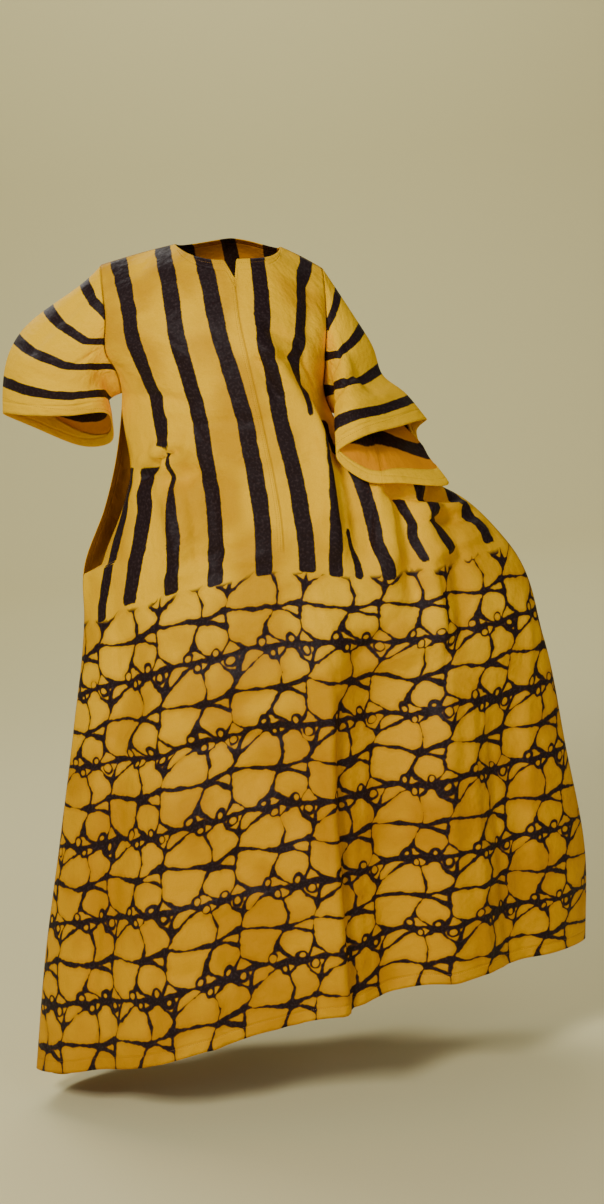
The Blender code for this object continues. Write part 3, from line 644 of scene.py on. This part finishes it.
def dyed_cotton(name, on_body, tones, ink):
    """Cotton with the bodice stripes and skirt crackle, or with the sleeve stripes."""
    material = bpy.data.materials.new(name)
    material.use_nodes = True
    tree = material.node_tree
    light, shade, deep, ink = [linear(tone) for tone in (*tones, ink)]
    spot = add(tree, "UVMap", uv_map="cloth")
    across, drop = [add(tree, "SeparateXYZ", (spot,), axis) for axis in range(2)]
    edge, seam, stripe = [add(tree, "Attribute", (), "Fac", attribute_name=label)
                          for label in ("edge", "seam", "stripe")]
    noise = {}
    for row in NOISES + (SKIRT_NOISES if on_body else []):
        sizes = {"Vector": spot, "Scale": row["scale"], "Detail": row["detail"],
                 "Roughness": row["rough"]}
        noise[row["name"]] = add(tree, "TexNoise", sizes, row["out"], noise_dimensions="2D")

    # The dark print: stripes with wandering, frayed edges, and the crackle of the skirt
    # with a brown halo. Its finest lines are browner than the ink.
    stripe = add(tree, "Math", (noise["wobble"], -STRIPE_WANDER, stripe), **TIMES_ADD)
    stripe = add(tree, "Math", (noise["frayed"], STRIPE_FRAY, stripe), **TIMES_ADD)
    rim = (STRIPE_FRAY - STRIPE_WANDER) / 2.0
    stripe = add(tree, "MapRange", (stripe, rim - STRIPE_SOFT, rim + STRIPE_SOFT, 1.0, 0.0),
                 **SOFT)
    if on_body:
        place = (BRANCH_ACROSS - (WARP + FINE_WARP) / 2.0,
                 -PRINT_TOP / MM - BRANCH_BELOW_TOP - (WARP + FINE_WARP) / 2.0, 0.0)
        for source, reach in ((spot, 1.0 / MM), (noise["warp"], WARP),
                              (noise["fine warp"], FINE_WARP)):
            place = add(tree, "VectorMath", (source, (reach, reach, 0.0), place),
                        **TIMES_ADD)
        crack = crackle_distance(tree, place)
        crack = add(tree, "Math", (noise["wobble"], LINE_SWELL, crack), **TIMES_ADD)
        crack = add(tree, "Math", (crack, -LINE_THIN))
        top = add(tree, "Math", (noise["ragged top"], RAGGED, drop), **TIMES_ADD)
        start = PRINT_TOP + RAGGED / 2.0
        skirt = add(tree, "MapRange", (top, start + 0.011, start + 0.021), **SOFT)
        line = add(tree, "MapRange", (crack, -0.7, 0.7, 1.0, 0.0), **SOFT)
        line = add(tree, "Math", (line, skirt), **TIMES)
        inked = add(tree, "Math", (stripe, line), operation="MAXIMUM")
        # The ground goes from mostly the light yellow near the print's top to the deeper gold
        # by the knee: partly the skirt's deeper gold, partly painted shade that darkens towards
        # the hem.
        painted_light_by_drop = add(tree, "MapRange", (drop, 0.58, 1.02, 0.80, 0.0), **SOFT)
        patches = add(tree, "MapRange", (noise["patches"], 0.38, 0.66, 0.0, 0.50), **SOFT)
        halo = add(tree, "MapRange", (crack, -0.5, 8.0, 0.42, 0.0), **SOFT)
        halo = add(tree, "Math", (halo, skirt), **TIMES)
        ground = add(tree, "Mix", {0: painted_light_by_drop, 6: shade, 7: light}, 2, **COLOURS)
        ground = add(tree, "Mix", {0: patches, 6: ground, 7: deep}, 2, **COLOURS)
        ground = add(tree, "Mix", {0: halo, 6: ground, 7: deep}, 2, **COLOURS)
        bare = add(tree, "Math", (1.0, stripe), **MINUS)
        thin = add(tree, "MapRange", (crack, -2.2, -0.4, 0.0, 0.45), **SOFT)
        thin = add(tree, "Math", (thin, bare), **TIMES)
        ink = add(tree, "Mix", {0: thin, 6: ink, 7: linear("#5A3210")}, 2, **COLOURS)
    else:
        inked = stripe
        patches = add(tree, "MapRange", (noise["patches"], 0.35, 0.70, 0.0, 0.30), **SOFT)
        ground = add(tree, "Mix", {0: patches, 6: light, 7: shade}, 2, **COLOURS)
    mottle = add(tree, "MapRange", (noise["mottle"], 0.30, 0.75, 0.0, 0.10), **SOFT)
    ground = add(tree, "Mix", {0: mottle, 6: ground, 7: deep}, 2, **COLOURS)
    wear = add(tree, "MapRange", (noise["wear"], 0.45, 0.80, 0.0, 0.22), **SOFT)
    ink = add(tree, "Mix", {0: wear, 6: ink, 7: linear("#5B4A4C")}, 2, **COLOURS)
    colour = add(tree, "Mix", {0: inked, 6: ground, 7: ink}, 2, **COLOURS)

    relief, painted_seam_shade = cotton_relief(tree, on_body, noise, across, drop, edge, seam)
    # Darken the colour along the seams and the centre front line towards the deep tone: painted
    # shade.
    for line in painted_seam_shade:
        share = add(tree, "Math", (line, 0.45), **TIMES)
        colour = add(tree, "Mix", {0: share, 6: colour, 7: deep}, 2, **COLOURS)
    shader = tree.nodes["Principled BSDF"]
    bump = add(tree, "Bump", {"Strength": 0.85, "Distance": 1.0, "Height": relief})
    roughness = add(tree, "MapRange", (inked, 0.0, 1.0, 0.62, 0.50))
    for slot, link in (("Base Color", colour), ("Roughness", roughness), ("Normal", bump)):
        tree.links.new(link, shader.inputs[slot])
    shader.inputs["Specular IOR Level"].default_value = 0.09
    return material


FACE_COLOURS = ("#FFC800", "#DEA200", "#AE7000")
# The inside of the cloth: the same print in darker, more orange tones, painted shade for the
# inner faces.
INSIDE_SHADE_COLOURS = ("#E69600", "#D28000", "#AA6400")
INK = "#241819"
INSIDE_SHADE_INK = "#2A1A12"
body_cotton = dyed_cotton("wax_printed_cotton", True, FACE_COLOURS, INK)
body_inside_shade = dyed_cotton("wax_printed_cotton_inside_painted_shade", True, INSIDE_SHADE_COLOURS, INSIDE_SHADE_INK)


# ------------------------------------------------------------- front and back
# The two panels share the shoulder and side seams. Their hems are turned in and
# stitched, their neck edges are stitched, and the left side stays open over a short slit.

# Each stripe of the bodice: its distance from the centre front at three drops, half
# its width, and the drops where it comes out of a tuck and where it ends. A stripe
# that isn't even has rows of drop and half its width.
STRIPE_DROPS = (0.03, 0.38, 0.61)
FRONT_STRIPES = [
    dict(at=(-0.262, -0.258, -0.352), half=0.0115, start=0.430, end=0.634),
    dict(at=(-0.262, -0.212, -0.286), half=0.0150, start=0.433, end=0.622,
         widths=((0.44, 0.0190), (0.60, 0.0150))),
    dict(at=(-0.187, -0.180, -0.191), half=0.0140, end=0.408),
    dict(at=(-0.182, -0.172, -0.195), half=0.0135, start=0.415, end=0.626,
         widths=((0.42, 0.0040), (0.47, 0.0060), (0.53, 0.0135))),
    dict(at=(-0.110, -0.104, -0.117), half=0.0140, end=0.632),
    dict(at=(-0.050, -0.028, -0.034), half=0.0140, end=0.630),
    dict(at=(0.048, 0.030, 0.037), half=0.0140, end=0.626),
    dict(at=(0.142, 0.080, 0.060), half=0.0125, end=0.368,
         widths=((0.29, 0.0125), (0.37, 0.0030))),
    dict(at=(0.300, 0.112, 0.084), half=0.0115, start=0.375, end=0.631),
    dict(at=(0.176, 0.098, 0.124), half=0.0065, start=0.555, end=0.634),
    dict(at=(0.230, 0.156, 0.174), half=0.0130, start=0.36, end=0.636),
    dict(at=(0.290, 0.232, 0.258), half=0.0090, start=0.520, end=0.616),
    dict(at=(0.330, 0.262, 0.322), half=0.0145, end=0.612),
    dict(at=(0.400, 0.340, 0.412), half=0.0140, end=0.616),
]
BACK_STRIPES = [dict(at=(0.074 * turn, 0.074 * turn, 0.080 * turn), half=0.0135,
                     end=0.622 + 0.010 * math.sin(2.3 * turn)) for turn in range(-3, 6)]
STRIPE_CORNER = 0.005


def stripe_distance(stripes, across, drop):
    """Distance to the edge of the nearest stripe, less than 0 inside it."""
    nearest = np.full(across.shape, 1.0)
    for stripe in stripes:
        middle = np.interp(drop, STRIPE_DROPS, stripe["at"])
        widths = np.array(stripe.get("widths", ((0.0, stripe["half"]),)))
        half = np.interp(drop, widths[:, 0], widths[:, 1])
        corner = np.minimum(STRIPE_CORNER, 0.8 * half)
        beside = np.abs(across - middle) - half + corner
        past_end = np.maximum(drop - stripe["end"], stripe.get("start", -1.0) - drop)
        past_end += corner
        outside = np.hypot(np.maximum(beside, 0.0), np.maximum(past_end, 0.0))
        inside = np.minimum(np.maximum(beside, past_end), 0.0)
        nearest = np.minimum(nearest, outside + inside - corner)
    return nearest


def edge_measures(grid):
    """Distance of each point to the nearest turned edge and to the nearest seam."""
    drops = grid[:, :, 5]
    plain = grid[:, :, 4]
    from_hem = LENGTH - drops
    from_neck = drops - drops[0][None, :]
    columns = np.arange(-HALF_COLUMNS, HALF_COLUMNS + 1)
    at_neck = np.abs(columns) / HALF_COLUMNS < np.where(columns < 0, NECK_LEFT, NECK_RIGHT)
    edge = np.minimum(from_hem, np.where(at_neck[None, :], from_neck, 1.0))
    to_left = plain - plain[:, :1]
    to_right = plain[:, -1:] - plain
    in_slit = (drops > SLIT_TOP) & (drops < SLIT_BOTTOM)
    edge = np.minimum(edge, np.where(in_slit, to_left, 1.0))
    seam = np.minimum(np.where(in_slit, 1.0, to_left), to_right)
    seam = np.minimum(seam, np.where(at_neck[None, :], 1.0, from_neck))
    return edge, seam


def panel(name, face, creases, stripes, facing):
    """Make one body panel as a thin shell, with its hem turned up inside."""
    grid = panel_grid(face)
    edge, seam = edge_measures(grid)
    calm = smooth_step(0.0, 0.030, seam)
    surface = pressed(grid[:, :, :3], creases, grid[:, :, 3], grid[:, :, 5], calm, False,
                      facing)
    places, cloth, edge, seam = turned_edge(surface, grid[:, :, [3, 5]], HEM_TURN, edge,
                                            seam)
    stripe = stripe_distance(stripes, cloth[:, :, 0], cloth[:, :, 1])
    measures = dict(edge=edge, seam=seam, stripe=stripe)
    piece = cloth_object(name, places, cloth, measures, False, facing,
                         (body_cotton, body_inside_shade))
    return piece, grid, surface


front_piece, front_grid, front_surface = panel("front_panel", "front", FRONT_CREASES,
                                               FRONT_STRIPES, -1.0)
back_piece, back_grid, back_surface = panel("back_panel", "back", BACK_CREASES,
                                            BACK_STRIPES, 1.0)
for piece, node in ((front_piece, "front"), (back_piece, "back")):
    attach(piece, "root")
    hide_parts(node)


# -------------------------------------------------------------------- sleeves
# Each sleeve is one wide piece of the same yellow cotton with dark stripes that
# run round the arm. It is set into the armhole and its cuff is turned in.

SLEEVE_ROWS = 60
CUFF_TURN = 0.026
FAINT_SEAM = 0.0024
SLEEVE_STRIPE_PITCH = 0.078
SLEEVE_STRIPE_HALF = 0.0105
# Length of the cloth from armhole to cuff, at shares from the shoulder to the underarm.
SLEEVE_LENGTHS = [(0.00, 0.330), (0.10, 0.315), (0.20, 0.285), (0.29, 0.215),
                  (0.42, 0.130), (0.50, 0.095)]
LEFT_SLEEVE_CREASES = table(FOLD_COLUMNS, [
    ("crease by armhole", 120, 80, 160, 120, 7, -4),
    ("fold over elbow", 40, 100, 200, 60, 12, 4),
    ("soft fold from shoulder", 30, 290, 60, 90, 11, -4),
    ("fold at back", -190, 60, -120, 200, 11, -4.5),
])
RIGHT_SLEEVE_CREASES = table(FOLD_COLUMNS, [
    ("crease at elbow", 60, 110, 190, 90, 8, -5.5),
    ("second crease at elbow", 50, 160, 170, 150, 8, -4.5),
    ("fold over arm", 30, 60, 180, 50, 10, 4),
    ("hollow of elbow", -50, 108, 75, 100, 34, -15),
    ("fold at back", -190, 70, -100, 180, 11, -4.5),
])


def closed_curve(points, share):
    """Places on a smooth closed curve through the points, share 0 to 1."""
    count = len(points)
    position = (share % 1.0) * count
    index = position.astype(int)
    part = (position - index)[:, None]
    before = points[(index - 1) % count]
    start = points[index % count]
    end = points[(index + 1) % count]
    after = points[(index + 2) % count]
    return 0.5 * (2 * start + (end - before) * part
                  + (2 * before - 5 * start + 4 * end - after) * part ** 2
                  + (3 * start - before - 3 * end + after) * part ** 3)


def sleeve(name, side, cuff, creases, first_stripe):
    """Make one sleeve as a thin shell; its first stripe lies this far from the cuff."""
    column = 0 if side < 0 else -1
    armhole = np.concatenate([front_grid[:ARMHOLE_ROWS + 1, column, :3],
                              back_grid[1:ARMHOLE_ROWS, column, :3][::-1]])
    count = len(armhole)
    share = np.arange(count) / count
    ends, swells = [closed_curve(np.array([point[part] for point in cuff]) * MM, share)
                    for part in ("place", "bulge")]
    out = np.linspace(0.0, 1.0, SLEEVE_ROWS + 1)[:, None, None]
    places = armhole[None] + (ends - armhole)[None] * out
    places = places + swells[None] * np.sin(math.pi * out ** 1.5)
    low = np.sin(math.pi * share) ** 4
    near_seam = out[:, :, 0] * (1.0 - out[:, :, 0]) ** 3 / (0.25 * 0.75 ** 3)
    places[:, :, 0] += side * low[None] * ARMHOLE_EASE * near_seam
    steps = np.linalg.norm(np.diff(places, axis=0), axis=2)
    from_seam = np.concatenate([np.zeros((1, count)), np.cumsum(steps, axis=0)])
    from_cuff = from_seam[-1:] - from_seam
    round_length = np.linalg.norm(np.roll(places, -1, axis=1) - places, axis=2)
    round_length = float(round_length.sum(axis=1).mean())
    around = np.repeat(share[None] * round_length, SLEEVE_ROWS + 1, axis=0)
    calm = smooth_step(0.0, 0.025, from_seam)
    signed = np.where(share > 0.5, around - round_length, around)
    surface = pressed(places, creases, signed, from_cuff, calm, True, side)
    half = np.minimum(share, 1.0 - share)
    cut_length = np.interp(half, *np.array(SLEEVE_LENGTHS).T)
    grain = from_cuff / from_cuff[:1] * cut_length[None]
    cloth = np.stack([around, grain], axis=2)
    underarm = np.abs(around - 0.5 * round_length) + FAINT_SEAM
    places, cloth, edge, seam = turned_edge(surface, cloth, CUFF_TURN, from_cuff,
                                            np.minimum(from_seam, underarm))
    turn = np.maximum(0.0, np.round((cloth[:, :, 1] - first_stripe)
                                    / SLEEVE_STRIPE_PITCH))
    middle = first_stripe + SLEEVE_STRIPE_PITCH * turn
    stripe = np.abs(cloth[:, :, 1] - middle) - SLEEVE_STRIPE_HALF
    measures = dict(edge=edge, seam=seam, stripe=stripe, round=round_length)
    piece = cloth_object(name, places, cloth, measures, True, side,
                         (sleeve_cotton, sleeve_inside_shade))
    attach(piece, "root")
    return piece, surface


sleeve_cotton = dyed_cotton("glazed_striped_cotton", False, FACE_COLOURS, INK)
# The sleeves' inner faces get the same darker copy of the cloth as painted shade.
sleeve_inside_shade = dyed_cotton("glazed_striped_cotton_inside_painted_shade", False, INSIDE_SHADE_COLOURS,
                             INSIDE_SHADE_INK)
left_sleeve, left_surface = sleeve("left_sleeve_cloth", -1.0, LEFT_CUFF,
                                   LEFT_SLEEVE_CREASES, first_stripe=0.055)
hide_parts("sleeve_left")
right_sleeve, right_surface = sleeve("right_sleeve_cloth", 1.0, RIGHT_CUFF,
                                     RIGHT_SLEEVE_CREASES, first_stripe=0.046)
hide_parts("sleeve_right")


# ------------------------------------------------------------------- stitches
# Rows of machine stitches in dark yellow cotton thread hold the turned hems, the
# cuffs, the neck edge and the slit, and two rows run down beside the centre front.

STITCH_PITCH = 0.0036
STITCH_LONG = 0.0027
STITCH_WIDE = 0.0008
STITCH_HIGH = 0.0003


def stitch_rows(name, rows):
    """Join small six-cornered stitches along rows of places, each with its normals."""
    corners = []
    faces = []
    for places, normals in rows:
        lengths = np.linalg.norm(np.diff(places, axis=0), axis=1)
        travelled = np.concatenate([[0.0], np.cumsum(lengths)])
        middles = np.arange(0.5 * STITCH_PITCH, travelled[-1], STITCH_PITCH)
        ahead, behind, out = [
            np.stack([np.interp(middles + shift, travelled, column) for column in rows.T],
                     axis=1)
            for shift, rows in ((STITCH_LONG / 2, places), (-STITCH_LONG / 2, places),
                                (0.0, normals))]
        out /= np.linalg.norm(out, axis=1, keepdims=True)
        sideways = np.cross(ahead - behind, out)
        sideways *= STITCH_WIDE / 2 / np.linalg.norm(sideways, axis=1, keepdims=True)
        middle = (ahead + behind) / 2
        ring = (ahead, middle + sideways, behind, middle - sideways)
        for spots in zip(*ring, middle + out * STITCH_HIGH, middle - out * STITCH_HIGH):
            first = len(corners)
            corners.extend(spot.tolist() for spot in spots)
            for step in range(4):
                after = (step + 1) % 4
                faces.append((first + step, first + 4, first + after))
                faces.append((first + after, first + 5, first + step))
    mesh = bpy.data.meshes.new(name)
    mesh.from_pydata(corners, [], faces)
    mesh.materials.append(thread)
    piece = linked(name, mesh)
    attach(piece, "root")


def plain_material(name, hex_colour, roughness):
    """A material of one colour."""
    material = bpy.data.materials.new(name)
    material.use_nodes = True
    shader = material.node_tree.nodes["Principled BSDF"]
    shader.inputs["Base Color"].default_value = linear(hex_colour)
    shader.inputs["Roughness"].default_value = roughness
    return material


thread = plain_material("cotton_sewing_thread", "#9C6A08", 0.6)
SLIT_STITCH = 0.008
NECK_STITCH_ROW = 2
CUFF_STITCH_ROW = -5


def body_rows(grid, surface):
    """Rows along the hem, the neck edge and the slit of one panel."""
    places, normals = surface
    hem_row = int(np.abs(grid[:, 0, 5] - (LENGTH - HEM_STITCH)).argmin())
    neck = slice(HALF_COLUMNS - int(NECK_LEFT * HALF_COLUMNS),
                 HALF_COLUMNS + int(NECK_RIGHT * HALF_COLUMNS))
    side_drops = grid[:, 0, 5]
    slit = (side_drops > SLIT_TOP) & (side_drops < SLIT_BOTTOM)
    slit_column = int(np.abs(grid[len(grid) // 2, :, 4] - grid[len(grid) // 2, 0, 4]
                             - SLIT_STITCH).argmin())
    return [(places[hem_row], normals[hem_row]),
            (places[NECK_STITCH_ROW, neck], normals[NECK_STITCH_ROW, neck]),
            (places[slit, slit_column], normals[slit, slit_column])]


front_rows = body_rows(front_grid, front_surface)
middle_drops = front_grid[:, HALF_COLUMNS, 5]
on_placket = ((middle_drops > NECK_FRONT_DROP + NOTCH_DROP + 0.004)
              & (middle_drops < PRINT_TOP - 0.012))
for column in (HALF_COLUMNS - 2, HALF_COLUMNS - 1):
    front_rows.append(tuple(part[on_placket, column] for part in front_surface))
stitch_rows("front_stitches", front_rows)
stitch_rows("back_stitches", body_rows(back_grid, back_surface))
for name, (places, normals) in (("left_cuff_stitches", left_surface),
                                ("right_cuff_stitches", right_surface)):
    stitch_rows(name, [(places[CUFF_STITCH_ROW], normals[CUFF_STITCH_ROW])])


# ------------------------------------------------------ floor, lights, camera
# A plain pale floor of matte paint that curves up into a wall far behind. A key lamp, a
# fill, a lamp behind the robe and one on the wall light it softly. The camera stands
# slightly above the chest, tilted down and leaning.

FLOOR_Z = -1.445
floor_mesh = bpy.data.meshes.new("floor")
FLOOR_REACH = 10.0
FLOOR_BEND = 2.5
sweep = [(-FLOOR_REACH, 0.0)]
sweep += [(FLOOR_REACH - FLOOR_BEND * (1.0 - math.sin(a)), FLOOR_BEND * (1.0 - math.cos(a)))
          for a in np.linspace(0.0, math.pi / 2, 17)]
sweep += [(FLOOR_REACH, 8.0)]
floor_points = [(x, y, FLOOR_Z + z) for x in (-FLOOR_REACH, FLOOR_REACH) for y, z in sweep]
count = len(sweep)
floor_mesh.from_pydata(floor_points, [], [(i, i + 1, count + i + 1, count + i)
                                          for i in range(count - 1)])
floor_mesh.shade_smooth()
floor_mesh.materials.append(plain_material("matte_floor_paint", "#E4DCA8", 0.9))
floor = linked("floor", floor_mesh)


def soft_lamp(name, place, target, size, watts, tint):
    """A square area lamp at a place, turned towards a target."""
    data = bpy.data.lights.new(name, "AREA")
    data.shape = "SQUARE"
    data.size = size
    data.energy = watts
    data.color = tint
    lamp = linked(name, data)
    lamp.location = place
    lamp.rotation_euler = (Vector(target) - Vector(place)).to_track_quat("-Z", "Y").to_euler()


soft_lamp("key_lamp", (-1.5, -3.1, 1.6), (0.0, 0.0, -0.5), 0.9, 118.0, (1.0, 0.97, 0.92))
soft_lamp("fill_lamp", (1.9, -3.2, 0.6), (0.0, 0.0, -0.6), 2.0, 30.0, (1.0, 0.98, 0.95))
soft_lamp("back_lamp", (-1.4, 2.0, 1.8), (0.0, 0.0, -0.4), 1.6, 40.0, (1.0, 0.98, 0.95))
soft_lamp("wall_lamp", (0.0, 5.0, 5.5), (0.0, 9.0, -0.4), 5.0, 340.0, (1.0, 0.96, 0.84))

world = bpy.data.worlds.new("studio")
world.use_nodes = True
sky = world.node_tree.nodes["Background"]
sky.inputs["Color"].default_value = (0.80, 0.78, 0.72, 1.0)
sky.inputs["Strength"].default_value = 0.20
bpy.context.scene.world = world

CAMERA_PLACE = Vector((0.0619, -3.2000, -0.1513))
CAMERA_PITCH = math.radians(8.0)
CAMERA_ROLL = math.radians(6.0)
LENS = 56.27
forward = Vector((0.0, math.cos(CAMERA_PITCH), -math.sin(CAMERA_PITCH)))
level_up = Vector((0.0, math.sin(CAMERA_PITCH), math.cos(CAMERA_PITCH)))
level_right = Vector((1.0, 0.0, 0.0))
up = level_up * math.cos(CAMERA_ROLL) + level_right * math.sin(CAMERA_ROLL)
right = level_right * math.cos(CAMERA_ROLL) - level_up * math.sin(CAMERA_ROLL)
camera_data = bpy.data.cameras.new("camera")
camera_data.lens = LENS
camera_data.sensor_width = 36.0
camera = linked("camera", camera_data)
camera.matrix_world = Matrix([[right[axis], up[axis], -forward[axis], CAMERA_PLACE[axis]]
                              for axis in range(3)] + [[0.0, 0.0, 0.0, 1.0]])
bpy.context.scene.camera = camera
